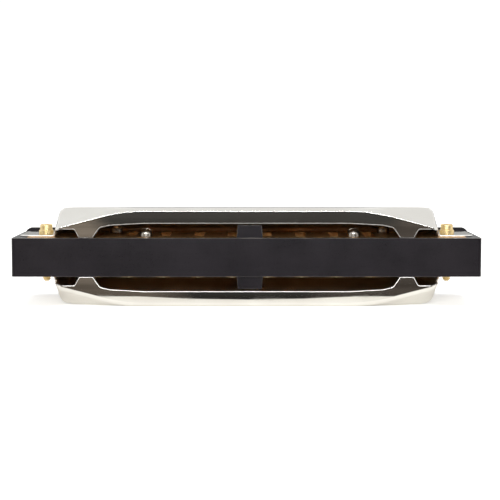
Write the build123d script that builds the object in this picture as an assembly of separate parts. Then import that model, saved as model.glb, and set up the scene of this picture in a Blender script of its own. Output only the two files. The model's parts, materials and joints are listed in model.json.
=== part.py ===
from build123d import *
import math
import os

# A ten-hole diatonic harmonica, in millimetres.
# +X runs towards hole 1 (the low notes), +Y towards the player, +Z up.
# The origin is on the surface that the lower cover rests on, below the middle of the comb.

# ---- Overall sizes ----
comb_length = 101.0
comb_depth = 27.0
comb_height = 8.3
cover_rise = 6.5              # height of a cover above the face of the comb

# ---- Comb ----
rear_wall = 2.2               # wall behind the reed plates
mouth_depth = 5.0             # depth of the mouthpiece
ridge_rise = 0.9              # the mouthpiece stands this proud of the comb, above and below
nose_radius = 3.8             # rounding of the mouthpiece towards the lips
mouth_corner_radius = 4.5     # rounding of its two front corners, seen from above
ridge_end_radius = 1.6        # rounding of its ends, seen from the front
rear_corner_radius = 0.8
post_width = 5.6              # width of the two posts behind the lips, where they meet the comb
post_taper = 0.25             # each side of a post leans in by this much
post_height = 2.7
post_depth = 1.3

# ---- Holes and chambers ----
hole_count = 10
hole_pitch = 7.5
row_shift = 0.7               # the row of holes lies this far off the middle of the comb
hole_width = 4.9
hole_height = 4.9
chamber_margin = 0.4          # the chamber runs this far behind the longest slot

# ---- Reed plates ----
plate_length = 95.0
plate_thickness = 0.9
plate_gap = 0.1               # around a plate in its recess

# ---- Reeds ----
longest_reed = 14.6           # hole 1
shortest_reed = 9.6           # hole 10
reed_width = 2.2
reed_thickness = 0.3
reed_side_gap = 0.06          # between a reed and the side of its slot
reed_tip_gap = 0.25
reed_offset = 0.05            # the reed lies this far off its plate
pad_width = 2.9
pad_length = 2.8
pad_gap = 0.08                # between the fixed pad and the rounded root of the reed
pad_margin = 0.35             # between a row of pads and the edge of the plate

# ---- Rivets ----
rivet_diameter = 1.0
rivet_head_diameter = 1.4
rivet_head_height = 0.4
rivet_head_rounding = 0.7     # share of the head's height

# ---- Reed plate screws ----
plate_screw_core = 1.4
plate_screw_head_diameter = 2.7
plate_screw_head_height = 1.9
plate_screw_head_rounding = 0.9  # share of the head's radius
plate_screw_tip = 0.5         # stands out below the lower plate
plate_screw_clearance = 0.2   # over the core, in the upper plate and the comb
plate_screw_slot_width = 0.45
plate_screw_slot_depth = 0.5
rear_screw_inset = 1.8        # from the rear edge of the plate
front_screw_inset = 4.5       # from the front edge of the plate
rear_screw_pitches = (-3, 3)  # places along the row, in hole pitches from its middle
front_screw_pitches = (-4, 0, 4)

# ---- Covers ----
sheet = 0.4                   # thickness of the cover sheet
cover_rear_inset = 0.2        # the lip lies this far inside the rear face of the comb
cover_front_gap = 0.1         # between the front edge of a cover and the mouthpiece
shell_half_length = 42.0      # where the shell meets the comb
end_lean = 1.4                # the end wall leans in by this much at its shoulder
front_edge_rise = 0.9         # height of the front edge above the comb
front_narrowing = 2.5         # the shell is this much shorter, per end, at its front edge
crown_depth = 3.0             # the cover is level this far in front of the rolled edge
crown_skim = 0.03             # the crown is pressed flat by this much
fall_power = 1.4              # the two powers of the curve from the crown to the front edge
fall_roundness = 0.9
rear_flat_half = 27.0         # the rear edge is level up to here, then slopes down
rear_shoulder_height = 3.0    # height of the rear edge at the end of its slope
rear_flat_radius = 38.0
middle_flat_inset = 0.8       # the level part of the middle ends this far inside the shoulder
middle_shoulder_share = 0.88  # shoulder height as a share of the rise, away from the rear
shoulder_run = 6.0            # depth over which the rear outline turns into the middle one
shoulder_radius_share = 0.2   # shoulder radius as a share of the rise
middle_flat_radius = 1.0
bead_steps = 4
body_steps = 12
bead_radius = 0.9             # outer radius of the rolled rear edge
lip_level_height = 3.1        # height of the lip's lower edge above the comb
lip_level_half = 22.0         # the lip's lower edge is level up to here
lip_low_half = 29.3
lip_low_drop = 0.4
foot_top_inner = 31.5
foot_inner = 33.0
foot_outer = 36.0
foot_top_outer = 37.0
foot_top_drop = 0.9
window_height = 1.85          # small window between the foot and the end of the cover
window_level_half = 40.2      # its top is level up to here, then slopes down to the end
notch_height = 1.2            # the window runs round the corner, under the end wall
notch_gap = 0.3               # and ends this far behind the flange

# ---- End flanges and cover screws ----
flange_reach = 49.4
flange_rear = -9.5
flange_front = 5.0
flange_corner_radius = 2.6
cover_screw_x = 43.9
cover_screw_y = -5.5
cover_screw_shank = 1.8
cover_screw_clearance = 0.3   # over the shank, in all but the tapped lower flange
thread_clearance = 0.02       # between a screw and the hole that it is tapped into
cover_screw_collar_diameter = 3.2
cover_screw_collar_height = 0.9
cover_screw_head_diameter = 2.7
cover_screw_head_height = 1.3
cover_screw_head_rounding = 0.35  # share of the head's height
cover_screw_tip = 1.2         # stands out below the lower flange
cover_screw_tip_chamfer = 0.3
cover_screw_slot_width = 0.6
cover_screw_slot_depth = 0.8

# ---- Places that follow from the sizes ----
comb_bottom = cover_rise
comb_top = comb_bottom + comb_height
comb_middle = (comb_bottom + comb_top) / 2
comb_rear = -comb_depth / 2
comb_front = comb_depth / 2
comb_end = comb_length / 2
ridge_rear = comb_front - mouth_depth
recess_rear = comb_rear + rear_wall
plate_rear = recess_rear + plate_gap
plate_front = ridge_rear - plate_gap
plate_end = plate_length / 2
cover_rear = comb_rear + cover_rear_inset
cover_front = ridge_rear - cover_front_gap
crown_front = cover_rear + bead_radius + crown_depth
root_radius = reed_thickness / 2
pad_start = root_radius + pad_gap
blow_hinge_y = plate_front - pad_margin - pad_length - pad_start
draw_hinge_y = plate_rear + pad_margin + pad_length + pad_start
slot_root = root_radius       # the slot begins this far behind the hinge line
rivet_setback = pad_start + pad_length / 2
rear_screw_y = plate_rear + rear_screw_inset
front_screw_y = plate_front - front_screw_inset


def block(x0, x1, y0, y1, z0, z1):
    """A box between two opposite corners."""
    middle = Pos((x0 + x1) / 2, (y0 + y1) / 2, (z0 + z1) / 2)
    return middle * Box(x1 - x0, y1 - y0, z1 - z0)


def rod(x, y, z0, z1, diameter):
    """An upright cylinder."""
    return Pos(x, y, (z0 + z1) / 2) * Cylinder(diameter / 2, z1 - z0)


def flip(shape):
    """The same shape below the comb as above it."""
    return mirror(shape, about=Plane.XY.offset(comb_middle))


def hole_x(number):
    """Middle of a hole; hole 1 is at the +X end."""
    return row_shift + hole_pitch * ((hole_count + 1) / 2 - number)


def reed_length(number):
    """Reeds get shorter from hole 1 to the last hole."""
    share = (number - 1) / (hole_count - 1)
    return longest_reed + (shortest_reed - longest_reed) * share


# Each set of reeds: the hinge line, the way the reeds point, and the face of the plate they lie on.
blow = {
    "hinge_y": blow_hinge_y,
    "way": -1,
    "face": comb_top - plate_thickness,
    "plate_bottom": comb_top - plate_thickness,
}
draw = {
    "hinge_y": draw_hinge_y,
    "way": 1,
    "face": comb_bottom,
    "plate_bottom": comb_bottom,
}


def along_reed(reeds, start, end):
    """Lower and upper y of a stretch that is measured from the hinge line towards the tip."""
    ends = (reeds["hinge_y"] + reeds["way"] * start, reeds["hinge_y"] + reeds["way"] * end)
    return min(ends), max(ends)


def plate_screw_places():
    """All screws that hold the two reed plates to the comb."""
    middle = row_shift
    rear = [(middle + hole_pitch * step, rear_screw_y) for step in rear_screw_pitches]
    front = [(middle + hole_pitch * step, front_screw_y) for step in front_screw_pitches]
    return rear + front


def cover_screw_places():
    return [(-cover_screw_x, cover_screw_y), (cover_screw_x, cover_screw_y)]


# ---- Comb ----
def make_mouthpiece():
    """The front of the comb: a rounded nose, cut to rounded corners in plan and from the front."""
    height = comb_height + 2 * ridge_rise
    reach = 2 * mouth_depth
    nose = Plane.YZ * Pos(ridge_rear, comb_middle) * RectangleRounded(reach, height, nose_radius)
    nose_bar = extrude(nose, amount=comb_end, both=True)
    plan = Pos(0, ridge_rear) * RectangleRounded(comb_length, reach, mouth_corner_radius)
    plan_bar = extrude(plan, amount=comb_top + height)
    front = Plane.XZ * Pos(0, comb_middle) * RectangleRounded(comb_length, height, ridge_end_radius)
    front_bar = extrude(front, amount=comb_depth, both=True)
    solid = nose_bar & plan_bar & front_bar
    ahead = block(-comb_end, comb_end, ridge_rear, comb_front, 0, comb_top + height)
    return solid & ahead


def make_posts():
    """Two posts on the rear wall, just behind the lips, that stop the covers being squeezed in."""
    half = post_width / 2
    outline = make_face(Polyline((row_shift - half, comb_top), (row_shift + half, comb_top),
                                 (row_shift + half - post_taper, comb_top + post_height),
                                 (row_shift - half + post_taper, comb_top + post_height), close=True))
    post = extrude(Plane.XZ.offset(-recess_rear) * outline, amount=post_depth)
    return [post, flip(post)]


def make_comb():
    plan = Pos(0, (comb_rear + ridge_rear) / 2) * RectangleRounded(
        comb_length, ridge_rear - comb_rear, rear_corner_radius)
    comb = extrude(Pos(0, 0, comb_bottom) * plan, amount=comb_height)
    comb += block(-comb_end + rear_corner_radius, comb_end - rear_corner_radius,
                  ridge_rear - rear_corner_radius, ridge_rear + mouth_depth / 2, comb_bottom, comb_top)
    comb += make_mouthpiece()
    for post in make_posts():
        comb += post
    recess_end = plate_end + plate_gap
    recess = block(-recess_end, recess_end, recess_rear, ridge_rear,
                   comb_top - plate_thickness, comb_top)
    comb -= recess
    comb -= flip(recess)
    for number in range(1, hole_count + 1):
        comb -= make_chamber(number)
    for x, y in plate_screw_places():
        comb -= rod(x, y, comb_bottom, comb_top, plate_screw_core + plate_screw_clearance)
    for x, y in cover_screw_places():
        comb -= rod(x, y, comb_bottom, comb_top, cover_screw_shank + cover_screw_clearance)
    return comb


def make_chamber(number):
    """The space of one hole: a mouth hole in front, and a chamber between the reed plates."""
    x = hole_x(number)
    blow_tip = along_reed(blow, 0, reed_length(number) + reed_tip_gap)[0]
    draw_root = draw_hinge_y - slot_root
    rear = min(blow_tip, draw_root) - chamber_margin
    chamber = block(x - hole_width / 2, x + hole_width / 2, rear, ridge_rear,
                    comb_bottom, comb_top)
    mouth = block(x - hole_width / 2, x + hole_width / 2, rear, comb_front + mouth_depth,
                  comb_middle - hole_height / 2, comb_middle + hole_height / 2)
    return chamber + mouth


# ---- Reed plates ----
def make_reed_plate(reeds, screw_hole):
    bottom = reeds["plate_bottom"]
    top = bottom + plate_thickness
    plate = block(-plate_end, plate_end, plate_rear, plate_front, bottom, top)
    half_slot = reed_width / 2 + reed_side_gap
    for number in range(1, hole_count + 1):
        x = hole_x(number)
        y0, y1 = along_reed(reeds, -slot_root, reed_length(number) + reed_tip_gap)
        plate -= block(x - half_slot, x + half_slot, y0, y1, bottom, top)
        plate -= rod(x, rivet_y(reeds), bottom, top, rivet_diameter)
    for x, y in plate_screw_places():
        plate -= rod(x, y, bottom, top, screw_hole)
    for x, y in cover_screw_places():
        plate -= rod(x, y, bottom, top, cover_screw_shank + cover_screw_clearance)
    return plate


# ---- Reeds ----
def rivet_y(reeds):
    return reeds["hinge_y"] - reeds["way"] * rivet_setback


def make_reed(reeds, number):
    """A tongue with a root that is round about its hinge line."""
    x = hole_x(number)
    top = reeds["face"] - reed_offset
    y0, y1 = along_reed(reeds, 0, reed_length(number))
    tongue = block(x - reed_width / 2, x + reed_width / 2, y0, y1, top - reed_thickness, top)
    root = Pos(x, reeds["hinge_y"], top - root_radius) * Rot(0, 90, 0) * Cylinder(root_radius, reed_width)
    return tongue + root


def make_roots(reeds):
    """The riveted pads behind the reeds."""
    pads = []
    y0, y1 = along_reed(reeds, -pad_start - pad_length, -pad_start)
    for number in range(1, hole_count + 1):
        x = hole_x(number)
        pad = block(x - pad_width / 2, x + pad_width / 2, y0, y1,
                    reeds["face"] - reed_thickness, reeds["face"])
        pad -= rod(x, rivet_y(reeds), reeds["face"] - reed_thickness, reeds["face"], rivet_diameter)
        pads.append(pad)
    return pads


def make_rivets(reeds):
    """A rivet has a domed head on the pad and ends flush with the far face of the plate."""
    rivets = []
    pad_face = reeds["face"] - reed_thickness
    plate_top = reeds["plate_bottom"] + plate_thickness
    for number in range(1, hole_count + 1):
        x = hole_x(number)
        y = rivet_y(reeds)
        head = rod(x, y, pad_face - rivet_head_height, pad_face, rivet_head_diameter)
        rim = head.faces().sort_by(Axis.Z)[0].edges()
        head = fillet(rim, rivet_head_height * rivet_head_rounding)
        rivets.append(head + rod(x, y, pad_face, plate_top, rivet_diameter))
    return rivets


# ---- Screws ----
def slotted(screw, x, y, top, width, depth, diameter):
    """Cuts a screwdriver slot across the head."""
    return screw - block(x - diameter, x + diameter, y - width / 2, y + width / 2, top - depth, top)


def make_plate_screws():
    screws = []
    for x, y in plate_screw_places():
        top = comb_top + plate_screw_head_height
        head = rod(x, y, comb_top, top, plate_screw_head_diameter)
        rim = head.faces().sort_by(Axis.Z)[-1].edges()
        head = fillet(rim, plate_screw_head_diameter / 2 * plate_screw_head_rounding)
        core = rod(x, y, comb_bottom - plate_screw_tip, comb_top, plate_screw_core)
        screws.append(slotted(head + core, x, y, top, plate_screw_slot_width,
                              plate_screw_slot_depth, plate_screw_head_diameter))
    return screws


def make_cover_screws():
    screws = []
    flange_top = comb_top + sheet
    collar_top = flange_top + cover_screw_collar_height
    top = collar_top + cover_screw_head_height
    tip = comb_bottom - sheet - cover_screw_tip
    for x, y in cover_screw_places():
        head = rod(x, y, collar_top, top, cover_screw_head_diameter)
        rim = head.faces().sort_by(Axis.Z)[-1].edges()
        head = fillet(rim, cover_screw_head_height * cover_screw_head_rounding)
        collar = rod(x, y, flange_top, collar_top, cover_screw_collar_diameter)
        shank = rod(x, y, tip, flange_top, cover_screw_shank)
        point = shank.faces().sort_by(Axis.Z)[0].edges()
        shank = chamfer(point, cover_screw_tip_chamfer)
        screws.append(slotted(head + collar + shank, x, y, top, cover_screw_slot_width,
                              cover_screw_slot_depth, cover_screw_collar_diameter))
    return screws


# ---- Covers ----
def blend(start, end, share):
    """Goes smoothly from start to end as share goes from 0 to 1."""
    held = min(max(share, 0), 1)
    smooth = held * held * (3 - 2 * held)
    return start + (end - start) * smooth


def cover_section(y, inset, floor):
    """Outline of the shell at one depth, shrunk by inset. Heights are above the comb."""
    depth_share = max(0, (y - crown_front) / (cover_front - crown_front))
    turn = (y - cover_rear) / shoulder_run
    fall = (1 - depth_share ** fall_power) ** fall_roundness
    rise = front_edge_rise + (cover_rise + crown_skim - front_edge_rise) * fall
    base_half = shell_half_length - front_narrowing * depth_share ** 6
    shoulder_half = base_half - end_lean
    shoulder_share = blend(rear_shoulder_height / cover_rise, middle_shoulder_share, turn)
    flat_half = blend(rear_flat_half, shoulder_half - middle_flat_inset, turn)
    flat_radius = blend(rear_flat_radius, middle_flat_radius, turn)
    right = [
        (base_half - inset, floor),
        (shoulder_half - inset, rise * shoulder_share - inset),
        (flat_half - inset / 2, rise - inset),
    ]
    left = [(-x, z) for x, z in reversed(right)]
    face = make_face(Polyline(*right, *left, close=True))
    corners = face.vertices().sort_by(Axis.Y)
    face = fillet(corners[2:4], rise * shoulder_radius_share)
    face = fillet(face.vertices().sort_by(Axis.Y)[-2:], flat_radius)
    return Plane.XZ.offset(-y) * Pos(0, comb_top) * face


def make_shell_form(inset, floor):
    """The filled form of the shell: a rolled rear edge, then the body down to the front edge."""
    rear = cover_rear + inset
    radius = bead_radius - inset
    sections = []
    for step in range(bead_steps):
        angle = math.pi / 2 * step / bead_steps
        y = rear + radius * (1 - math.cos(angle))
        sections.append(cover_section(y, inset + radius * (1 - math.sin(angle)), floor))
    sections.append(cover_section(rear + radius, inset, floor))
    front = cover_front - inset
    for step in range(body_steps + 1):
        share = math.sin(math.pi / 2 * step / body_steps)
        sections.append(cover_section(crown_front + (front - crown_front) * share, inset, floor))
    return loft(sections, ruled=True)


def make_lip_openings():
    """The rear opening between the feet, and a window beyond each foot that runs round the corner."""
    level = lip_level_height
    low = level - lip_low_drop
    foot_top = level - foot_top_drop
    right = [(foot_inner, -sheet), (foot_inner, 0), (foot_top_inner, foot_top),
             (lip_low_half, low), (lip_level_half, level)]
    left = [(-x, z) for x, z in reversed(right)]
    centre = make_face(Polyline(*right, *left, close=True))
    outside = shell_half_length + sheet
    window = make_face(Polyline((foot_outer, -sheet), (foot_outer, 0), (foot_top_outer, window_height),
                                (window_level_half, window_height), (outside, notch_height),
                                (outside, -sheet), close=True))
    cutters = []
    for face, depth in ((centre, sheet), (window, flange_rear - notch_gap - cover_rear)):
        placed = Plane.XZ.offset(-cover_rear - depth) * Pos(0, comb_top) * face
        cutters.append(extrude(placed, amount=depth + sheet))
    return cutters + [mirror(cutters[1], about=Plane.YZ)]


def make_flange(side, screw_hole):
    """A flat tongue at the end of a cover, with the hole for its screw."""
    inner = shell_half_length - sheet
    reach = flange_reach - inner
    middle = (flange_rear + flange_front) / 2
    plan = Pos(inner, middle) * RectangleRounded(2 * reach, flange_front - flange_rear, flange_corner_radius)
    flange = extrude(Pos(0, 0, comb_top) * plan, amount=sheet)
    flange = flange & block(inner, flange_reach, flange_rear, flange_front, comb_top, comb_top + sheet)
    flange -= rod(cover_screw_x, cover_screw_y, comb_top, comb_top + sheet, screw_hole)
    if side < 0:
        flange = mirror(flange, about=Plane.YZ)
    return flange


def make_cover(screw_hole):
    """The upper cover; the lower one is the same pressing turned over."""
    pressed = block(-comb_end, comb_end, comb_rear, comb_front, comb_top, comb_top + cover_rise)
    cover = (make_shell_form(0, 0) & pressed) - make_shell_form(sheet, -sheet)
    for cutter in make_lip_openings():
        cover -= cutter
    for side in (-1, 1):
        cover += make_flange(side, screw_hole)
    return cover


# ---- All nodes ----
def make_nodes():
    nodes = {
        "comb": make_comb(),
        "upper_reed_plate": make_reed_plate(blow, plate_screw_core + plate_screw_clearance),
        "lower_reed_plate": make_reed_plate(draw, plate_screw_core + thread_clearance),
        "upper_cover": make_cover(cover_screw_shank + cover_screw_clearance),
        "lower_cover": flip(make_cover(cover_screw_shank + thread_clearance)),
        "blow_reed_roots": make_roots(blow),
        "draw_reed_roots": make_roots(draw),
        "blow_reed_rivets": make_rivets(blow),
        "draw_reed_rivets": make_rivets(draw),
        "reed_plate_screws": make_plate_screws(),
        "cover_screws": make_cover_screws(),
    }
    for number in range(1, hole_count + 1):
        nodes[f"blow_reed_{number:02d}"] = make_reed(blow, number)
        nodes[f"draw_reed_{number:02d}"] = make_reed(draw, number)
    return nodes


os.makedirs("parts", exist_ok=True)
for name, shape in make_nodes().items():
    solids = shape if isinstance(shape, list) else shape.solids()
    export_step(Compound(children=list(solids)), f"parts/{name}.step")
print("hinge lines", round(blow_hinge_y, 3), round(draw_hinge_y, 3))
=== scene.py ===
"""Looks of a ten-hole diatonic harmonica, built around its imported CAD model.

Lengths are written in millimetres and turned into metres where a mesh is made.
"""

import json
import math

import bmesh
import bpy
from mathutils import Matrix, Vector

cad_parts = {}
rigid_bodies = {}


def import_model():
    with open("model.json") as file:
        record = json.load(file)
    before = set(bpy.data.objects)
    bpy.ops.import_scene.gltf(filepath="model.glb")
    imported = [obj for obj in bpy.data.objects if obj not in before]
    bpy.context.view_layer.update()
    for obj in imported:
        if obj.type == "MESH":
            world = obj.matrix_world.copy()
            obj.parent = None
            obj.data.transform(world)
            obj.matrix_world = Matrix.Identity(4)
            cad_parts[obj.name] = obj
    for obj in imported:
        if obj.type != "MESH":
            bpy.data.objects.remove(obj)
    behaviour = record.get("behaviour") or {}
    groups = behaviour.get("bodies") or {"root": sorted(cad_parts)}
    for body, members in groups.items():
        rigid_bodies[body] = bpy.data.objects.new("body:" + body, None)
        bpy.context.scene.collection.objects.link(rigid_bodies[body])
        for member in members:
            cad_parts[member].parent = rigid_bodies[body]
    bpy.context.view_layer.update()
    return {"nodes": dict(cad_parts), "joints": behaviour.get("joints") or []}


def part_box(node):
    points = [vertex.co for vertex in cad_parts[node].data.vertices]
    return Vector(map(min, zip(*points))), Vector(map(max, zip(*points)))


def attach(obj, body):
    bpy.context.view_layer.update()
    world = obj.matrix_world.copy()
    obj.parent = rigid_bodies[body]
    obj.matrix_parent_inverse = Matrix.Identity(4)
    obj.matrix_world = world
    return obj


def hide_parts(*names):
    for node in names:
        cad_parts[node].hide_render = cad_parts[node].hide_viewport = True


MM = 0.001
LARGEST_CORNER_SHARE = 0.48   # a rounded corner takes up no more than this share of each side

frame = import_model()

# ---- Places taken from the frame, in millimetres ----
FIXED = frame["joints"][0]["parent"]


def box_mm(node):
    """Two corners of a node's box, in millimetres."""
    low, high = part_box(node)
    return low / MM, high / MM


comb_low = box_mm("comb")[0]
lower_plate_low, lower_plate_high = box_mm("lower_reed_plate")
upper_plate_low, upper_plate_high = box_mm("upper_reed_plate")
cover_low, cover_high = box_mm("upper_cover")
comb_bottom = lower_plate_low.z
comb_top = upper_plate_high.z
comb_middle = (comb_bottom + comb_top) / 2
cover_rise = cover_high.z - comb_top
cover_rear = cover_low.y
cover_front = cover_high.y
flange_reach = cover_high.x

# ---- Covers ----
sheet = 0.4
shell_half_length = 42.0
end_lean = 1.4
front_edge_rise = 0.9
front_narrowing = 2.5
narrowing_power = 6
crown_depth = 3.0
fall_power = 1.4
fall_roundness = 0.9
rear_flat_half = 27.0
rear_shoulder_height = 3.0
rear_flat_radius = 38.0
middle_flat_inset = 0.8
middle_flat_radius = 1.0
middle_shoulder_share = 0.88
shoulder_run = 6.0
shoulder_radius_share = 0.2
bead_radius = 0.9
front_bend_radius = 0.35
lip_level_height = 3.1
lip_level_half = 22.0
lip_low_half = 29.3
lip_low_drop = 0.4
foot_top_inner = 31.5
foot_inner = 33.0
foot_outer = 36.0
foot_top_outer = 37.0
foot_top_drop = 0.9
window_height = 1.85
window_level_half = 40.2
window_slope = 0.3
notch_gap = 0.3
rim_rounding = 0.19
rim_segments = 3
rim_angle = 50                # a fold sharper than this many degrees is a cut edge
INSIDE = 1                    # places of these materials among a cover's materials
CUT_EDGE = 2
lip_tolerance = 0.004         # a point this close to the rear plane is on the lip
crown_front = cover_rear + bead_radius + crown_depth
flange_rear = -9.5
flange_front = 5.0
notch_front = flange_rear - notch_gap
flange_corner_radius = 2.6
flange_bend_radius = 0.7
flange_joint_share = 0.25     # where the flange meets the end wall, as a share of the wall's lean
rim_end = flange_front + 0.5
section_steps = (6, 26, 30)   # along the end wall, the shoulder and half of the crown
section_arc_steps = 10
lip_radii = (0.5, 0, 0, 0.9, 1.5, 12.0)        # at each corner of the lip, from a window to the middle
lip_steps = (6, 5, 6, 5, 4, 6, 12)
lip_arc_steps = 5
bead_steps = 8
after_bead = 0.8              # between the sections just in front of the bead
notch_steps = 4
body_steps = 30
bend_steps = 4
flange_bend_steps = 8
flange_flat_steps = 4
flange_corner_steps = 10
flange_across_steps = 12

# ---- Screws, rivets and reeds ----
AXIS_GAP = 0.001              # radius of the small ring that closes a turned shape at its axis
collar_radius = 1.6
collar_height = 0.9
cover_head_radius = 1.35
cover_head_step = 0.06
cover_head_roundings = (0.08, 0.22, 0.1, 0.42)
cover_thread = (0.9, 0.4, 0.16)       # radius, pitch and depth
cover_slot = (0.3, 0.8)               # half width and depth
cover_screw_edge = 0.05       # rounding of its sharp edges
cover_screw_sides = 64
plate_head_radius = 1.35
plate_head_foot = 1.27
plate_head_chamfer = 0.1
plate_head_rim = 0.75
plate_thread = (0.7, 0.3, 0.1)
plate_slot = (0.22, 0.5)
plate_screw_edge = 0.04
plate_screw_sides = 48
slot_reach = 2.0              # how far a slot's cutter goes to each side of the middle
slot_headroom = 1.0           # and above the head
dome_steps = 8
turned_corner_steps = 5
thread_overlap = 0.3          # how far a thread goes up into the plate
thread_rows_per_turn = 8
thread_tip_share = 0.55
thread_tip_turns = 2.2
thread_sides = 32
rivet_head_radius = 0.7
rivet_shank_radius = 0.5
rivet_crown = ((0.42, 0.04), (0.68, 0.26))     # radius, and depth below the top of the head
rivet_end_inset = 0.02
rivet_end_bulge = 0.03
rivet_roundings = (0.3, 0.3, 0.03, 0.03, 0.1)
rivet_sides = 32
reed_tip_radius = 0.3
reed_arc_steps = 4
reed_rows = 24
reed_thinning = 0.09          # the most that a tongue is thinned by
reed_thinning_run = 1.15      # above 1, so that the thinning ends before the tip
reed_least = 0.004            # thickness left at the pinched root

# ---- Shading and softened edges ----
cover_smooth_angle = 35
turned_smooth_angle = 30
thread_smooth_angle = 50
edge_segments = 2
screw_edge_angle = 45
cad_edge_angle = 30
cad_merge = 0.001             # doubled points of a CAD mesh are closer than this
cad_flat_angle = 1            # CAD faces that meet at less than this many degrees are one face
comb_edge_width = 0.12
brass_edge_width = 0.03

# ---- Camera: behind the object and a little above it, looking at the middle of its rear ----
VIEW_DISTANCE = 340.0
VIEW_ELEVATION = math.radians(4.5)
PIXELS_PER_MM = 4.66
IMAGE_SIZE = 500
CENTRE_RIGHT = -0.76          # where the object's middle lies from the middle of the image, in mm
CENTRE_UP = -1.63

# ---- Studio ----
floor_reach = 3000.0
floor_colour = (0.93, 0.93, 0.92)
floor_glow = 0.3
# Cards seen only in reflections: their colours paint the reflections in the covers.
card_gap = 12.5               # from the rear of the covers to the floor card, at the middle
card_bend = 6.5
card_bend_half = 25.0
card_half_length = 500.0
card_far = -1600.0
card_level = 0.2
card_columns = 80
card_distance = 450.0
card_fade_start = 8.6         # half width of the darkest part of the painted reflection, at the rear of the covers
card_fade_end = 18.0          # half width to the lighter sides there
card_fan = 0.16               # both widen by this share of the distance behind the covers
cream_far = -27.0             # behind this Y the near card is cream
cream_near = -17.0            # and in front of this Y it is whiter and glows a little, painted light in the lower cover's reflection
painted_reflection_glow = 0.1
cream_level = 0.1
cream_rear = -500.0
cream_front = 400.0
upright_half_length = 600.0
rear_card_height = 150.0
front_card_height = 110.0
overhead_size = (420, 260)
overhead_place = (0, -30, 420)
overhead_target = (0, 0, 10)
overhead_power = 0.7
fill_size = (500, 60)
fill_place = (0, -520, 150)
fill_target = (0, -10, 14)
fill_power = 2.0
horizon_height = 0.05
zenith_height = 0.7
horizon_strength = 1.06
zenith_strength = 0.9


# ==== Mesh tools ====
def add_object(name, data):
    obj = bpy.data.objects.new(name, data)
    bpy.context.scene.collection.objects.link(obj)
    return obj


def mesh_from(name, points, faces):
    """A mesh from points in millimetres."""
    mesh = bpy.data.meshes.new(name)
    mesh.from_pydata([[c * MM for c in p] for p in points], [], faces)
    mesh.validate()
    mesh.update()
    return mesh


def tidy_mesh(mesh, merge=0.0005):
    """Merges doubled points and turns all faces outwards."""
    bm = bmesh.new()
    bm.from_mesh(mesh)
    bmesh.ops.remove_doubles(bm, verts=bm.verts, dist=merge * MM)
    bmesh.ops.recalc_face_normals(bm, faces=bm.faces)
    bm.to_mesh(mesh)
    bm.free()


def shade_smooth(obj, angle):
    """Smooth shading that stays sharp where faces meet at more than the angle."""
    bm = bmesh.new()
    bm.from_mesh(obj.data)
    limit = math.radians(angle)
    for face in bm.faces:
        face.smooth = True
    for edge in bm.edges:
        edge.smooth = len(edge.link_faces) != 2 or edge.calc_face_angle(0) < limit
    bm.to_mesh(obj.data)
    bm.free()


def bake_modifiers(obj):
    """Applies all modifiers of an object."""
    graph = bpy.context.evaluated_depsgraph_get()
    data = bpy.data.meshes.new_from_object(obj.evaluated_get(graph))
    obj.modifiers.clear()
    obj.data = data


def soften_edges(obj, width, angle):
    """A small rounding along every edge that is sharper than the angle."""
    bevel = obj.modifiers.new("edges", "BEVEL")
    bevel.width = width * MM
    bevel.segments = edge_segments
    bevel.limit_method = "ANGLE"
    bevel.angle_limit = math.radians(angle)


def weigh_normals(obj):
    """Keeps large flat faces flat in their shading, so that only the small ones beside them curve."""
    weigh = obj.modifiers.new("normals", "WEIGHTED_NORMAL")
    weigh.keep_sharp = True
    weigh.weight = 80
    bake_modifiers(obj)


def finish_piece(obj, material, nodes=(), body=FIXED):
    """Gives a finished piece its material, its body and the CAD nodes that it stands for."""
    if material:
        obj.data.materials.clear()
        obj.data.materials.append(material)
    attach(obj, body)
    if nodes:
        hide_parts(*nodes)
    return obj


def tube_faces(rows, sides):
    """Faces of a tube of several rows of points, closed at both ends."""
    faces = []
    for row in range(rows - 1):
        for side in range(sides):
            a = row * sides + side
            b = row * sides + (side + 1) % sides
            faces.append((a, b, b + sides, a + sides))
    last = (rows - 1) * sides
    faces.append(tuple(range(sides - 1, -1, -1)))
    faces.append(tuple(last + side for side in range(sides)))
    return faces


def lathe(profile, x, y, sides):
    """Points and faces of a profile of (radius, z) turned about an upright axis; both ends are closed."""
    points = []
    for radius, z in profile:
        for side in range(sides):
            angle = 2 * math.pi * side / sides
            points.append((x + radius * math.cos(angle), y + radius * math.sin(angle), z))
    return points, tube_faces(len(profile), sides)


def join_parts(name, parts):
    """One mesh from several (points, faces) parts."""
    points, faces = [], []
    for part_points, part_faces in parts:
        shift = len(points)
        points += part_points
        faces += [tuple(i + shift for i in face) for face in part_faces]
    return mesh_from(name, points, faces)


def box_part(x0, x1, y0, y1, z0, z1):
    """Points and faces of a plain box."""
    points = [(x, y, z) for z in (z0, z1) for y in (y0, y1) for x in (x0, x1)]
    faces = [(0, 2, 3, 1), (4, 5, 7, 6), (0, 1, 5, 4), (2, 6, 7, 3), (0, 4, 6, 2), (1, 3, 7, 5)]
    return points, faces


def carve(obj, parts):
    """Cuts closed parts out of an object."""
    cutter = add_object("cutter", join_parts("cutter", parts))
    cut = obj.modifiers.new("cut", "BOOLEAN")
    cut.operation = "DIFFERENCE"
    cut.solver = "EXACT"
    cut.object = cutter
    bake_modifiers(obj)
    bpy.data.objects.remove(cutter)


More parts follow.
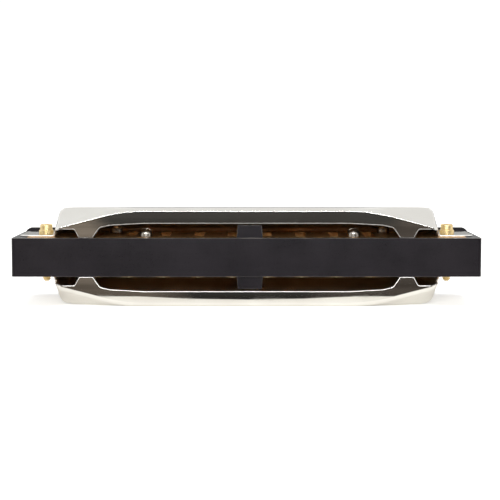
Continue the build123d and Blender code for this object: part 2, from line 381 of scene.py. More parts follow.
# ==== Material tools ====
class Shader:
    """A node material with short calls for the nodes that it needs."""

    def __init__(self, name):
        self.material = bpy.data.materials.new(name)
        self.material.use_nodes = True
        self.nodes = self.material.node_tree.nodes
        self.links = self.material.node_tree.links
        self.surface = self.nodes["Principled BSDF"]
        self.coordinates = self.nodes.new("ShaderNodeTexCoord").outputs["Object"]

    def set(self, **values):
        for name, value in values.items():
            self.surface.inputs[name.replace("_", " ")].default_value = value

    def stretched(self, scale):
        node = self.nodes.new("ShaderNodeMapping")
        node.inputs["Scale"].default_value = scale
        self.links.new(self.coordinates, node.inputs["Vector"])
        return node.outputs["Vector"]

    def noise(self, size, detail, scale=(1, 1, 1), roughness=0.5):
        """Noise whose grains are about size millimetres across, divided by scale along each axis."""
        node = self.nodes.new("ShaderNodeTexNoise")
        node.inputs["Scale"].default_value = 1 / (size * MM)
        node.inputs["Detail"].default_value = detail
        node.inputs["Roughness"].default_value = roughness
        self.links.new(self.stretched(scale), node.inputs["Vector"])
        return node.outputs["Fac"]

    def ramp(self, value, low, high, start, end):
        """Turns the stretch low to high of a value into start to end, which are numbers."""
        node = self.nodes.new("ShaderNodeMapRange")
        for name, number in (("From Min", low), ("From Max", high), ("To Min", start), ("To Max", end)):
            node.inputs[name].default_value = number
        self.links.new(value, node.inputs["Value"])
        return node.outputs["Result"]

    def mix(self, value, first, second):
        """A colour between two colours."""
        node = self.nodes.new("ShaderNodeMix")
        node.data_type = "RGBA"
        self.links.new(value, node.inputs["Factor"])
        for socket, colour in ((node.inputs["A"], first), (node.inputs["B"], second)):
            if isinstance(colour, tuple):
                socket.default_value = (*colour, 1)
            else:
                self.links.new(colour, socket)
        return node.outputs["Result"]

    def math(self, operation, first, second):
        node = self.nodes.new("ShaderNodeMath")
        node.operation = operation
        for socket, value in zip(node.inputs, (first, second)):
            if isinstance(value, (int, float)):
                socket.default_value = value
            else:
                self.links.new(value, socket)
        return node.outputs["Value"]

    def axis(self, letter):
        node = self.nodes.new("ShaderNodeSeparateXYZ")
        self.links.new(self.coordinates, node.inputs["Vector"])
        return node.outputs[letter]

    def plug(self, name, value):
        self.links.new(value, self.surface.inputs[name])

    def mottle(self, noise, first, second, high=0.65):
        """A base colour that wanders between two colours."""
        self.plug("Base Color", self.mix(self.ramp(noise, 0.35, high, 0, 1), first, second))

    def bump(self, height, depth):
        """Bump from a height of 0 to 1 that stands for depth millimetres."""
        node = self.nodes.new("ShaderNodeBump")
        node.inputs["Distance"].default_value = depth * MM
        self.links.new(height, node.inputs["Height"])
        self.links.new(node.outputs["Normal"], self.surface.inputs["Normal"])


# ==== Materials ====
def polished_steel():
    """Plated cover steel: mirror polish with faint polishing lines and a few handling marks."""
    shader = Shader("polished_cover_steel")
    shader.set(Metallic=1.0, IOR=2.5)
    cloud = shader.noise(14, detail=3)
    shader.mottle(cloud, (0.80, 0.78, 0.74), (0.87, 0.86, 0.82))
    lines = shader.noise(0.25, scale=(0.02, 1, 1), detail=2)
    smudge = shader.noise(5, detail=5, roughness=0.6)
    worn = shader.ramp(smudge, 0.5, 0.75, 0.035, 0.08)
    shader.plug("Roughness", shader.math("ADD", worn, shader.ramp(lines, 0.4, 0.8, 0, 0.02)))
    shader.bump(lines, 0.0003)
    return shader.material


def dull_steel():
    """The unpolished inside of a cover: rolled sheet, with a coarse grain along its length. Its random
    mottle is the sheet's own; its warm brown tint is a painted reflection of the brass reed plates.
    """
    shader = Shader("dull_cover_steel")
    shader.set(Metallic=1.0)
    cloud = shader.noise(6, detail=4)
    # warm brown mottle: random tone of the sheet, tinted with a painted reflection of the brass
    shader.mottle(cloud, (0.76, 0.63, 0.50), (0.84, 0.72, 0.59))
    lines = shader.noise(0.15, scale=(0.03, 1, 1), detail=3)
    shader.plug("Roughness", shader.ramp(lines, 0.3, 0.7, 0.3, 0.42))
    shader.bump(lines, 0.002)
    return shader.material


def cut_steel():
    """The cut edge of a cover's sheet, tumbled round and bright but not polished."""
    shader = Shader("cut_cover_steel")
    shader.set(Metallic=1.0)
    grain = shader.noise(0.8, detail=3)
    shader.mottle(grain, (0.90, 0.88, 0.85), (0.97, 0.96, 0.93))
    shader.plug("Roughness", shader.ramp(grain, 0.35, 0.65, 0.32, 0.4))
    return shader.material


def comb_plastic():
    """Black moulded plastic, satin, with a fine grain and faint scuffs."""
    shader = Shader("comb_plastic")
    shader.set(IOR=1.45, Specular_IOR_Level=0.3)
    cloud = shader.noise(9, detail=3)
    shader.mottle(cloud, (0.006, 0.0045, 0.0065), (0.010, 0.008, 0.0105))
    grain = shader.noise(0.12, detail=3)
    scuffs = shader.noise(0.5, scale=(0.06, 1, 1), detail=4)
    rough = shader.ramp(scuffs, 0.55, 0.75, 0.27, 0.31)
    shader.plug("Roughness", shader.math("ADD", rough, shader.ramp(grain, 0.3, 0.7, 0, 0.04)))
    shader.bump(grain, 0.004)
    return shader.material


def painted_comb_edge_highlight():
    """The same plastic, painted pale on its rounded edges: a painted highlight where the edges catch the
    light.
    """
    shader = Shader("comb_worn_edge")
    shader.set(IOR=1.45, Roughness=0.35)
    highlight_mottle = shader.noise(1.2, scale=(0.3, 1, 1), detail=4)
    # painted highlight: pale, uneven colour along the comb's rounded edges
    shader.mottle(highlight_mottle, (0.22, 0.20, 0.185), (0.42, 0.385, 0.35), high=0.7)
    return shader.material


def plate_brass():
    """Rolled brass of the reed plates, with a warm tarnish."""
    shader = Shader("plate_brass")
    shader.set(Metallic=1.0)
    tarnish = shader.noise(4, detail=6, roughness=0.6)
    shader.mottle(tarnish, (0.80, 0.52, 0.25), (0.60, 0.34, 0.145), high=0.7)
    lines = shader.noise(0.12, scale=(0.03, 1, 1), detail=3)
    shader.plug("Roughness", shader.ramp(lines, 0.3, 0.7, 0.28, 0.42))
    shader.bump(lines, 0.002)
    return shader.material


def reed_brass():
    """Reed brass, with fine grinding scratches along the tongue."""
    shader = Shader("reed_brass")
    shader.set(Metallic=1.0)
    lines = shader.noise(0.06, scale=(1, 0.04, 1), detail=3)
    patch = shader.noise(2.5, detail=4)
    shader.mottle(patch, (0.80, 0.60, 0.32), (0.66, 0.45, 0.20))
    shader.plug("Roughness", shader.ramp(lines, 0.3, 0.7, 0.22, 0.4))
    shader.bump(lines, 0.003)
    return shader.material


def screw_metal(name, bright, dull, roughness=0.14):
    """Turned screws and rivets: rings from the lathe, darker in the worn spots."""
    shader = Shader(name)
    shader.set(Metallic=1.0)
    worn = shader.noise(0.8, detail=4)
    shader.mottle(worn, bright, dull, high=0.7)
    rings = shader.noise(0.08, scale=(0.5, 0.5, 1.5), detail=2)
    shader.plug("Roughness", shader.ramp(rings, 0.3, 0.7, roughness, roughness + 0.16))
    shader.bump(rings, 0.0015)
    return shader.material


# ==== Covers ====
def blend(start, end, share):
    """Eases from start to end as the share goes from 0 to 1."""
    held = min(max(share, 0), 1)
    smooth = held * held * (3 - 2 * held)
    return start + (end - start) * smooth


def between(a, b, share):
    """The point at a share of the way from a to b."""
    return tuple(p + (q - p) * share for p, q in zip(a, b))


def rounded_path(points, radii, line_steps, arc_steps):
    """Points along a polyline whose inner corners are rounded, or sharp where the radius is 0."""
    path = []
    start = points[0]
    for index in range(1, len(points) - 1):
        before, corner, after = Vector(points[index - 1]), Vector(points[index]), Vector(points[index + 1])
        turn = (corner - before).angle(after - corner)
        reach = radii[index - 1] * math.tan(turn / 2)
        room = min((corner - before).length, (after - corner).length)
        reach = min(reach, room * LARGEST_CORNER_SHARE)
        entry = tuple(corner + (before - corner).normalized() * reach)
        leave = tuple(corner + (after - corner).normalized() * reach)
        steps = line_steps[index - 1]
        path += [between(start, entry, step / steps) for step in range(steps)]
        for step in range(arc_steps if reach else 0):
            share = step / arc_steps
            path.append(between(between(entry, tuple(corner), share),
                                between(tuple(corner), leave, share), share))
        start = leave
    steps = line_steps[-1]
    path += [between(start, points[-1], step / steps) for step in range(steps + 1)]
    return path


def foot_height(y, inset, base_half, shoulder_height):
    """Height of the end wall's lower edge: on the comb, or along the top of the window behind the flange."""
    run_out = window_height - window_slope * (base_half - inset - window_level_half)
    height = min(window_height, run_out / (1 - window_slope * end_lean / (shoulder_height - inset)))
    return blend(height, 0, (y - notch_front) / notch_gap + 1)


def cover_section(y, inset):
    """Half of the shell's outline at one depth, from its foot to the middle: (x, height above the comb)."""
    depth_share = max(0, (y - crown_front) / (cover_front - crown_front))
    turn = (y - cover_rear) / shoulder_run
    fall = (1 - min(depth_share, 1) ** fall_power) ** fall_roundness
    rise = front_edge_rise + (cover_rise - front_edge_rise) * fall
    base_half = shell_half_length - front_narrowing * depth_share ** narrowing_power
    shoulder_half = base_half - end_lean
    shoulder_height = rise * blend(rear_shoulder_height / cover_rise, middle_shoulder_share, turn)
    flat_half = blend(rear_flat_half, shoulder_half - middle_flat_inset, turn)
    flat_radius = blend(rear_flat_radius, middle_flat_radius, turn)
    foot = foot_height(y, inset, base_half, shoulder_height)
    corners = [
        (base_half - inset - end_lean * foot / (shoulder_height - inset), foot),
        (shoulder_half - inset, shoulder_height - inset),
        (flat_half - inset / 2, rise - inset),
        (0, rise - inset),
    ]
    radii = (rise * shoulder_radius_share, flat_radius)
    return rounded_path(corners, radii, section_steps, section_arc_steps)


def cover_stations():
    """Depth and inset of every section, from the lip to the front edge."""
    stations = []
    for step in range(bead_steps + 1):
        angle = math.pi / 2 * step / bead_steps
        y = cover_rear + bead_radius * (1 - math.cos(angle))
        stations.append((y, bead_radius * (1 - math.sin(angle))))
    bead_end = cover_rear + bead_radius
    stations.append((bead_end + after_bead, 0))
    stations.append((bead_end + after_bead * 2, 0))
    for step in range(notch_steps + 1):
        stations.append((notch_front - notch_gap * (1 - step / notch_steps), 0))
    bend_start = cover_front - front_bend_radius
    for step in range(body_steps + 1):
        share = math.sin(math.pi / 2 * step / body_steps)
        stations.append((crown_front + (bend_start - crown_front) * share, 0))
    for step in range(1, bend_steps + 1):
        angle = math.pi / 2 * step / bend_steps
        y = bend_start + front_bend_radius * math.sin(angle)
        stations.append((y, front_bend_radius * (1 - math.cos(angle))))
    return stations


def lip_edge(window_end):
    """The lower edge of the rear lip between the ends of its two windows, with both feet."""
    level = lip_level_height
    low = level - lip_low_drop
    foot_top = level - foot_top_drop
    half = [window_end, (foot_top_outer, window_height), (foot_outer, 0), (foot_inner, 0),
            (foot_top_inner, foot_top), (lip_low_half, low), (lip_level_half, level), (0, level)]
    path = rounded_path(half, lip_radii, lip_steps, lip_arc_steps)[1:]
    return path + [(-x, z) for x, z in reversed(path[:-1])]


def zip_rows(points, upper, lower):
    """Triangles between two rows of points that share both ends and run from +X to -X."""
    faces = []
    u, v = 0, 1
    while u < len(upper) - 2 or v < len(lower) - 2:
        lower_leads = points[lower[v]][0] <= points[upper[u + 1]][0]
        if v == len(lower) - 2 or (lower_leads and u < len(upper) - 2):
            faces.append((upper[u], upper[u + 1], lower[v]))
            u += 1
        else:
            faces.append((upper[u], lower[v + 1], lower[v]))
            v += 1
    faces.append((upper[u], upper[u + 1], lower[v]))
    return faces


def close_front(points, faces, front, width):
    """Drops the front section straight down to the comb."""
    foot = len(points)
    for x, y, _ in points[front + 1:front + width - 1]:
        points.append((x, y, 0))
    for step in range(1, width - 2):
        faces.append((front + step, front + step + 1, foot + step, foot + step - 1))
    faces.append((front, front + 1, foot))
    faces.append((front + width - 2, front + width - 1, foot + width - 3))


def shell_part():
    """The outer skin of the shell, with the rear lip, in heights above the comb."""
    points, faces = [], []
    stations = cover_stations()
    for y, inset in stations:
        half = cover_section(y, inset)
        points += [(x, y, z) for x, z in half]
        points += [(-x, y, z) for x, z in reversed(half[:-1])]
    width = len(points) // len(stations)
    for row in range(len(stations) - 1):
        for step in range(width - 1):
            a = row * width + step
            faces.append((a, a + 1, a + width + 1, a + width))
    close_front(points, faces, (len(stations) - 1) * width, width)
    edge_start = len(points)
    points += [(x, cover_rear, z) for x, z in lip_edge((points[0][0], points[0][2]))]
    edge = [0, *range(edge_start, len(points)), width - 1]
    faces += zip_rows(points, list(range(width)), edge)
    return points, faces


def flange_profile():
    """The flange from the end wall round its bend to its outer end: (x, height above the comb)."""
    wall = shell_half_length - end_lean * flange_joint_share
    profile = []
    for step in range(flange_bend_steps + 1):
        angle = math.pi / 2 * step / flange_bend_steps
        profile.append((wall + flange_bend_radius * (1 - math.cos(angle)),
                        sheet + flange_bend_radius * (1 - math.sin(angle))))
    flat_start = profile[-1][0]
    corner_start = flange_reach - flange_corner_radius
    for step in range(1, flange_flat_steps + 1):
        profile.append((flat_start + (corner_start - flat_start) * step / flange_flat_steps, sheet))
    for step in range(1, flange_corner_steps + 1):
        angle = math.pi / 2 * step / flange_corner_steps
        profile.append((corner_start + flange_corner_radius * math.sin(angle), sheet))
    return profile


def flange_part(side):
    """The upper skin of an end flange, with the bend that joins it to the end wall."""
    middle = (flange_rear + flange_front) / 2
    half_width = (flange_front - flange_rear) / 2
    corner_start = flange_reach - flange_corner_radius
    profile = flange_profile()
    points, faces = [], []
    for x, z in profile:
        past = max(0, x - corner_start)
        trim = flange_corner_radius - math.sqrt(max(0, flange_corner_radius ** 2 - past ** 2))
        for step in range(flange_across_steps + 1):
            share = step / flange_across_steps * 2 - 1
            points.append((side * x, middle + share * (half_width - trim), z))
    width = flange_across_steps + 1
    for row in range(len(profile) - 1):
        for step in range(flange_across_steps):
            a = row * width + step
            faces.append((a, a + 1, a + width + 1, a + width))
    return points, faces


def make_cover(name, node, upper, *materials):
    """A cover from its skins; the lower one is the upper one turned over.

    The materials are those of its outside, its inside and its cut edges.
    """
    face = comb_top if upper else comb_bottom
    way = 1 if upper else -1

    def placed(part):
        points, faces = part
        return [(x, y, face + way * z) for x, y, z in points], faces

    obj = add_object(name, join_parts(name, [placed(shell_part()), placed(flange_part(1)),
                                             placed(flange_part(-1))]))
    orient_outwards(obj.data, way)
    for material in materials:
        obj.data.materials.append(material)
    thick = obj.modifiers.new("sheet", "SOLIDIFY")
    thick.thickness = sheet * MM
    thick.offset = -1
    thick.use_even_offset = True
    thick.material_offset = INSIDE
    bake_modifiers(obj)
    round_rim(obj)
    shade_smooth(obj, cover_smooth_angle)
    flatten_lip(obj.data)
    return finish_piece(obj, None, [node])


def round_rim(obj):
    """Rounds the cut edges of the sheet, all but the straight one that stands on the comb in front."""
    bm = bmesh.new()
    bm.from_mesh(obj.data)
    weight = bm.edges.layers.float.new("bevel_weight_edge")
    limit = math.radians(rim_angle)
    for edge in bm.edges:
        behind = all(vert.co.y / MM < rim_end for vert in edge.verts)
        if behind and len(edge.link_faces) == 2 and edge.calc_face_angle(0) > limit:
            edge[weight] = 1
    bm.to_mesh(obj.data)
    bm.free()
    bevel = obj.modifiers.new("rim", "BEVEL")
    bevel.limit_method = "WEIGHT"
    bevel.width = rim_rounding * MM
    bevel.segments = rim_segments
    bevel.material = CUT_EDGE
    bevel.use_clamp_overlap = False
    bevel.loop_slide = False
    bake_modifiers(obj)


def flatten_lip(mesh):
    """Shades the rear lip as the flat sheet that it is, up to the roundings at its two edges."""
    normals = []
    for vert in mesh.vertices:
        on_lip = abs(vert.co.y / MM - cover_rear) < lip_tolerance
        normals.append((0, -1, 0) if on_lip else (0, 0, 0))
    mesh.normals_split_custom_set_from_vertices(normals)


def orient_outwards(mesh, way):
    """Turns each open skin so that its largest level stretch faces away from the comb."""
    bm = bmesh.new()
    bm.from_mesh(mesh)
    bmesh.ops.recalc_face_normals(bm, faces=bm.faces)
    left = set(bm.faces)
    while left:
        island = [left.pop()]
        for face in island:
            for edge in face.edges:
                for other in edge.link_faces:
                    if other in left:
                        left.remove(other)
                        island.append(other)
        facing = sum(face.normal.z * face.calc_area() for face in island)
        if facing * way < 0:
            bmesh.ops.reverse_faces(bm, faces=island)
    bm.to_mesh(mesh)
    bm.free()


# ==== Comb and plates ====
def refined_copy(name, node, bevel, material, edge_material=None):
    """A CAD node's shape with clean faces and softened edges, which may have a material of their own."""
    obj = add_object(name, frame["nodes"][node].data.copy())
    bm = bmesh.new()
    bm.from_mesh(obj.data)
    bmesh.ops.remove_doubles(bm, verts=bm.verts, dist=cad_merge * MM)
    bmesh.ops.dissolve_limit(bm, angle_limit=math.radians(cad_flat_angle), verts=bm.verts, edges=bm.edges)
    bm.to_mesh(obj.data)
    bm.free()
    if obj.data.has_custom_normals:
        bpy.context.view_layer.objects.active = obj
        with bpy.context.temp_override(object=obj, active_object=obj):
            bpy.ops.mesh.customdata_custom_splitnormals_clear()
    soften_edges(obj, bevel, cad_edge_angle)
    obj.data.materials.clear()
    obj.data.materials.append(material)
    if edge_material:
        obj.data.materials.append(edge_material)
        obj.modifiers["edges"].material = 1
    bake_modifiers(obj)
    shade_smooth(obj, cover_smooth_angle)
    weigh_normals(obj)
    return finish_piece(obj, None, [node])


# ==== Screws and rivets ====
def centres(node):
    """Middle of each solid of a node that holds several solids, as (x, y), from -X to +X."""
    mesh = frame["nodes"][node].data
    bm = bmesh.new()
    bm.from_mesh(mesh)
    bmesh.ops.remove_doubles(bm, verts=bm.verts, dist=cad_merge * MM)
    left = set(bm.verts)
    found = []
    while left:
        island = [left.pop()]
        for vert in island:
            for edge in vert.link_edges:
                other = edge.other_vert(vert)
                if other in left:
                    left.remove(other)
                    island.append(other)
        xs = [v.co.x / MM for v in island]
        ys = [v.co.y / MM for v in island]
        found.append(((min(xs) + max(xs)) / 2, (min(ys) + max(ys)) / 2))
    bm.free()
    return sorted(found)


def dome(radius, z0, z1):
    """Profile of a domed top, from its rim to its middle."""
    angles = [math.pi / 2 * step / dome_steps for step in range(dome_steps)]
    return [(radius * math.cos(a), z0 + (z1 - z0) * math.sin(a)) for a in angles] + [(AXIS_GAP, z1)]


def rounded_profile(points, radii):
    """A turned profile with rounded corners and undivided straight stretches."""
    return rounded_path(points, radii, (1,) * (len(points) - 1), turned_corner_steps)


def thread_part(x, y, z0, z1, radius, pitch, depth):
    """A screw thread as one winding surface, narrower and closed at its lower end."""
    rows = int((z1 - z0) / pitch * thread_rows_per_turn)
    points = []
    for row in range(rows + 1):
        z = z0 + (z1 - z0) * row / rows
        taper = min(1, thread_tip_share + (z - z0) / (pitch * thread_tip_turns))
        for side in range(thread_sides):
            angle = 2 * math.pi * side / thread_sides
            phase = (z / pitch - side / thread_sides) % 1
            r = (radius - depth * abs(2 * phase - 1)) * taper
            points.append((x + r * math.cos(angle), y + r * math.sin(angle), z))
    return points, tube_faces(rows + 1, thread_sides)


def make_screws(name, node, head, sides, thread, slot_size, edge_width, material):
    """A set of slotted screws, in two pieces: their turned heads, and their threaded tips."""
    low, high = box_mm(node)
    slot_half, slot_depth = slot_size
    heads, threads, slots = [], [], []
    for x, y in centres(node):
        heads.append(lathe(head, x, y, sides))
        threads.append(thread_part(x, y, low.z, comb_bottom + thread_overlap, *thread))
        slots.append(box_part(x - slot_reach, x + slot_reach, y - slot_half, y + slot_half,
                              high.z - slot_depth, high.z + slot_headroom))
    obj = add_object(f"{name}_set", join_parts(f"{name}_set", heads))
    tidy_mesh(obj.data)
    carve(obj, slots)
    soften_edges(obj, edge_width, screw_edge_angle)
    bake_modifiers(obj)
    shade_smooth(obj, turned_smooth_angle)
    finish_piece(obj, material, [node])
    tips = add_object(f"{name}_threads", join_parts(f"{name}_threads", threads))
    tidy_mesh(tips.data)
    shade_smooth(tips, thread_smooth_angle)
    finish_piece(tips, material)


def make_cover_screws(material):
    """Brass screws with a head that stands on a wider collar."""
    flange_top = comb_top + sheet
    collar_top = flange_top + collar_height
    top = box_mm("cover_screws")[1].z
    profile = [(AXIS_GAP, flange_top), (collar_radius, flange_top), (collar_radius, collar_top),
               (cover_head_radius, collar_top + cover_head_step), (cover_head_radius, top), (AXIS_GAP, top)]
    make_screws("cover_screw", "cover_screws", rounded_profile(profile, cover_head_roundings),
                cover_screw_sides, cover_thread, cover_slot, cover_screw_edge, material)


def make_plate_screws(material):
    """Small dome-headed screws that hold the reed plates."""
    top = box_mm("reed_plate_screws")[1].z
    foot = [(AXIS_GAP, comb_top), (plate_head_foot, comb_top),
            (plate_head_radius, comb_top + plate_head_chamfer)]
    head = foot + dome(plate_head_radius, comb_top + plate_head_rim, top)
    make_screws("plate_screw", "reed_plate_screws", head,
                plate_screw_sides, plate_thread, plate_slot, plate_screw_edge, material)


def make_rivets(kind, face, far_face, material):
    """Domed rivet heads on the reed pads, and the peened ends on the far side of the plate."""
    node = f"{kind}_reed_rivets"
    top = box_mm(node)[0].z
    profile = [(AXIS_GAP, top)]
    profile += [(radius, top + depth) for radius, depth in rivet_crown]
    profile += [(rivet_head_radius, face), (rivet_shank_radius, face),
                (rivet_shank_radius, far_face - rivet_end_inset), (AXIS_GAP, far_face + rivet_end_bulge)]
    rounded = rounded_profile(profile, rivet_roundings)
    parts = [lathe(rounded, x, y, rivet_sides) for x, y in centres(node)]
    obj = add_object(f"{kind}_rivet_set", join_parts(f"{kind}_rivet_set", parts))
    tidy_mesh(obj.data)
    shade_smooth(obj, cover_smooth_angle)
    finish_piece(obj, material, [node])


# ==== Reeds ====
def reed_stations(length, root_radius, half):
    """Distance from the hinge, pinch at both faces and half width of each cross-section of a tongue."""
    stations = []
    for step in range(reed_arc_steps + 1):
        angle = math.pi / 2 * step / reed_arc_steps
        stations.append((-root_radius * math.cos(angle), root_radius * (1 - math.sin(angle)), half))
    straight = length - reed_tip_radius
    for step in range(1, reed_rows + 1):
        stations.append((straight * step / reed_rows, 0, half))
    for step in range(1, reed_arc_steps + 1):
        angle = math.pi / 2 * step / reed_arc_steps
        stations.append((straight + reed_tip_radius * math.sin(angle), 0,
                         half - reed_tip_radius * (1 - math.cos(angle))))
    return stations


def reed_section(low_z, high_z, share, pinch):
    """Bottom and top of a tongue's cross-section at a share of its length."""
    thinning = reed_thinning * math.sin(math.pi * min(share * reed_thinning_run, 1)) ** 2
    bottom = low_z + pinch + thinning
    top = high_z - pinch
    if top - bottom < reed_least:
        middle = (high_z + low_z) / 2
        return middle - reed_least / 2, middle + reed_least / 2
    return bottom, top


def make_reed(joint, material):
    """A reed tongue: flat on the plate's side, thinned on the other between its root and its tip."""
    node = joint["name"].replace("_swing", "")
    low, high = box_mm(node)
    hinge_y = joint["pos_m"][1] / MM
    way = 1 if high.y - hinge_y > hinge_y - low.y else -1
    length = (high.y - hinge_y) if way > 0 else (hinge_y - low.y)
    x = (low.x + high.x) / 2
    stations = reed_stations(length, (high.z - low.z) / 2, (high.x - low.x) / 2)
    points = []
    for along, pinch, half in stations:
        bottom, top = reed_section(low.z, high.z, min(max(along / length, 0), 1), pinch)
        y = hinge_y + way * along
        points += [(x - half, y, bottom), (x + half, y, bottom), (x + half, y, top), (x - half, y, top)]
    obj = add_object(f"{node}_tongue_fine", mesh_from(node, points, tube_faces(len(stations), 4)))
    tidy_mesh(obj.data, merge=0.0001)
    shade_smooth(obj, turned_smooth_angle)
    finish_piece(obj, material, [node], body=joint["child"])


# ==== Stage ====
def make_floor():
    """A plain white floor that glows a little."""
    r = floor_reach
    corners = [(-r, -r, 0), (r, -r, 0), (r, r, 0), (-r, r, 0)]
    floor = add_object("floor", mesh_from("floor", corners, [(0, 1, 2, 3)]))
    white = flat_material("floor_white", floor_colour)
    surface = white.node_tree.nodes["Principled BSDF"].inputs
    surface["Emission Color"].default_value = (1, 1, 1, 1)
    surface["Emission Strength"].default_value = floor_glow
    floor.data.materials.append(white)
    return floor


def flat_material(name, colour):
    """A matt colour with no shine at all."""
    material = bpy.data.materials.new(name)
    material.use_nodes = True
    surface = material.node_tree.nodes["Principled BSDF"]
    surface.inputs["Base Color"].default_value = (*colour, 1)
    surface.inputs["Roughness"].default_value = 1.0
    surface.inputs["Specular IOR Level"].default_value = 0.0
    return material


def area_light(name, size, place, target, power):
    """A soft box of size millimetres at a place, aimed at a target."""
    data = bpy.data.lights.new(name, "AREA")
    data.shape = "RECTANGLE"
    data.size = size[0] * MM
    data.size_y = size[1] * MM
    data.energy = power
    obj = add_object(name, data)
    obj.location = Vector(place) * MM
    aim = (Vector(target) - Vector(place)).normalized()
    obj.rotation_euler = aim.to_track_quat("-Z", "Y").to_euler()
    return obj


def reflection_card(name, points, faces, material):
    """A card that is seen only in reflections."""
    card = add_object(name, mesh_from(name, points, faces))
    card.data.materials.append(material)
    card.visible_camera = False
    card.visible_diffuse = False
    card.visible_shadow = False
    card.visible_transmission = False
    return card


def card_material():
    """Painted reflection for the covers' rear lips: streaky, nearly black in the middle, lighter and warmer
    to the sides, most of all towards -X.
    """
    shader = Shader("card_dark")
    shader.set(Roughness=1.0, Specular_IOR_Level=0.0)
    # the painted reflection's lighter sides fan out with the distance behind the covers
    across = shader.axis("X")
    behind = shader.math("SUBTRACT", cover_rear * MM, shader.axis("Y"))
    spread = shader.math("MULTIPLY", behind, card_fan)
    start, end = card_fade_start * MM, card_fade_end * MM
    left = shader.ramp(shader.math("ADD", across, spread), -end, -start, 1, 0)
    right = shader.ramp(shader.math("SUBTRACT", across, spread), start, end, 0, 1)
    painted_reflection_streaks = shader.ramp(shader.noise(22, scale=(0.15, 1, 1), detail=2), 0.35, 0.65, 0, 1)
    middle = shader.mix(painted_reflection_streaks, (0.018, 0.0172, 0.016), (0.031, 0.0295, 0.027))
    end_right = shader.mix(painted_reflection_streaks, (0.034, 0.028, 0.024), (0.060, 0.051, 0.044))
    end_left = shader.mix(painted_reflection_streaks, (0.070, 0.058, 0.047), (0.150, 0.126, 0.104))
    shader.plug("Base Color", shader.mix(left, shader.mix(right, middle, end_right), end_left))
    return shader.material


def floor_card(material):
    """Lies on the floor behind the object; its near edge curves away to both sides."""
    points, faces = [], []
    for step in range(card_columns + 1):
        x = card_half_length * (2 * step / card_columns - 1)
        bend = min(1, abs(x) / card_bend_half)
        near = cover_rear - card_gap - card_bend * bend * bend
        points += [(x, near, card_level), (x, card_far, card_level)]
    for step in range(card_columns):
        a = 2 * step
        faces.append((a, a + 1, a + 3, a + 2))
    return reflection_card("floor_card", points, faces, material)


def near_card():
    """A cream card close to the object, seen only in reflections: a painted reflection in the lower cover,
    whiter towards the object, where it glows a little as painted light.
    """
    shader = Shader("card_cream")
    shader.set(Roughness=1.0, Specular_IOR_Level=0.0)
    closeness = shader.ramp(shader.axis("Y"), cream_far * MM, cream_near * MM, 0, 1)
    shader.plug("Base Color", shader.mix(closeness, (0.78, 0.755, 0.71), (0.88, 0.865, 0.835)))
    # painted light: the card glows a little close to the object
    shader.plug("Emission Strength", shader.ramp(closeness, 0, 1, 0, painted_reflection_glow))
    shader.set(Emission_Color=(1, 0.99, 0.97, 1))
    reach, z = card_half_length, cream_level
    points = [(-reach, cream_front, z), (reach, cream_front, z),
              (reach, cream_rear, z), (-reach, cream_rear, z)]
    return reflection_card("near_card", points, [(3, 2, 1, 0)], shader.material)


def upright_card(name, y, height, material):
    """A card that stands on the floor along X."""
    reach = upright_half_length
    points = [(-reach, y, 0), (reach, y, 0), (reach, y, height), (-reach, y, height)]
    return reflection_card(name, points, [(0, 1, 2, 3)], material)


def make_stage():
    """The floor, the cards, the white surroundings and two soft lights."""
    floor = make_floor()
    # the cards are seen only in reflections: their colours paint reflections in the covers
    dark = card_material()
    grey = flat_material("card_grey", (0.3, 0.3, 0.295))
    near_card()
    floor_card(dark)
    upright_card("rear_card", -card_distance, rear_card_height, dark)
    upright_card("front_card", card_distance, front_card_height, grey)
    make_world()
    bpy.context.scene.view_settings.view_transform = "Standard"
    overhead = area_light("overhead_box", overhead_size, overhead_place, overhead_target, overhead_power)
    overhead.visible_glossy = False
    area_light("rear_fill", fill_size, fill_place, fill_target, fill_power)


def make_world():
    """Even white surroundings, a little brighter at the horizon than overhead."""
    world = bpy.data.worlds.new("studio")
    world.use_nodes = True
    nodes, links = world.node_tree.nodes, world.node_tree.links
    direction = nodes.new("ShaderNodeTexCoord").outputs["Generated"]
    split = nodes.new("ShaderNodeSeparateXYZ")
    links.new(direction, split.inputs["Vector"])
    height = nodes.new("ShaderNodeMapRange")
    for name, number in (("From Min", horizon_height), ("From Max", zenith_height),
                         ("To Min", horizon_strength), ("To Max", zenith_strength)):
        height.inputs[name].default_value = number
    links.new(split.outputs["Z"], height.inputs["Value"])
    links.new(height.outputs["Result"], nodes["Background"].inputs["Strength"])
    nodes["Background"].inputs["Color"].default_value = (1, 1, 0.99, 1)
    bpy.context.scene.world = world


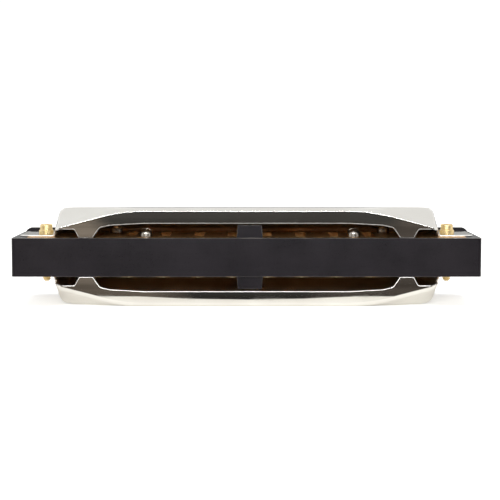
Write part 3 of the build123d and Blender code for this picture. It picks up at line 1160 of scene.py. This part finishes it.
def make_camera():
    """The camera, placed so that the object lies a little off the middle of its image."""
    data = bpy.data.cameras.new("camera")
    data.sensor_width = 36
    data.lens = VIEW_DISTANCE * PIXELS_PER_MM * data.sensor_width / IMAGE_SIZE
    data.clip_start = 0.01
    data.clip_end = 50
    camera = add_object("camera", data)
    forward = Vector((0, math.cos(VIEW_ELEVATION), -math.sin(VIEW_ELEVATION)))
    up = Vector((0, math.sin(VIEW_ELEVATION), math.cos(VIEW_ELEVATION)))
    middle = Vector((0, comb_low.y, comb_middle))
    target = middle - Vector((1, 0, 0)) * CENTRE_RIGHT - up * CENTRE_UP
    camera.location = (target - forward * VIEW_DISTANCE) * MM
    camera.rotation_euler = forward.to_track_quat("-Z", "Y").to_euler()
    bpy.context.scene.camera = camera


# ==== The whole scene ====
make_camera()
make_stage()

steel = polished_steel()
inner_steel = dull_steel()
edge_steel = cut_steel()
plastic = comb_plastic()
brass = plate_brass()
tongue_brass = reed_brass()
screw_brass = screw_metal("screw_brass", (0.88, 0.70, 0.38), (0.70, 0.50, 0.22), roughness=0.26)
screw_steel = screw_metal("screw_steel", (0.66, 0.62, 0.56), (0.40, 0.36, 0.31))
rivet_steel = screw_metal("rivet_steel", (0.85, 0.82, 0.74), (0.60, 0.55, 0.45))

make_cover("upper_cover_fine", "upper_cover", True, steel, inner_steel, edge_steel)
make_cover("lower_cover_fine", "lower_cover", False, steel, inner_steel, edge_steel)
# the comb's rounded edges get a painted highlight
refined_copy("comb_fine", "comb", comb_edge_width, plastic, painted_comb_edge_highlight())
refined_copy("upper_plate_fine", "upper_reed_plate", brass_edge_width, brass)
refined_copy("lower_plate_fine", "lower_reed_plate", brass_edge_width, brass)
refined_copy("blow_pads_fine", "blow_reed_roots", brass_edge_width, tongue_brass)
refined_copy("draw_pads_fine", "draw_reed_roots", brass_edge_width, tongue_brass)
make_cover_screws(screw_brass)
make_plate_screws(screw_steel)
pad_low, pad_high = box_mm("blow_reed_roots")
pad_thickness = pad_high.z - pad_low.z
make_rivets("blow", upper_plate_low.z - pad_thickness, upper_plate_high.z, rivet_steel)
make_rivets("draw", lower_plate_low.z - pad_thickness, lower_plate_high.z, rivet_steel)
for joint in frame["joints"]:
    make_reed(joint, tongue_brass)
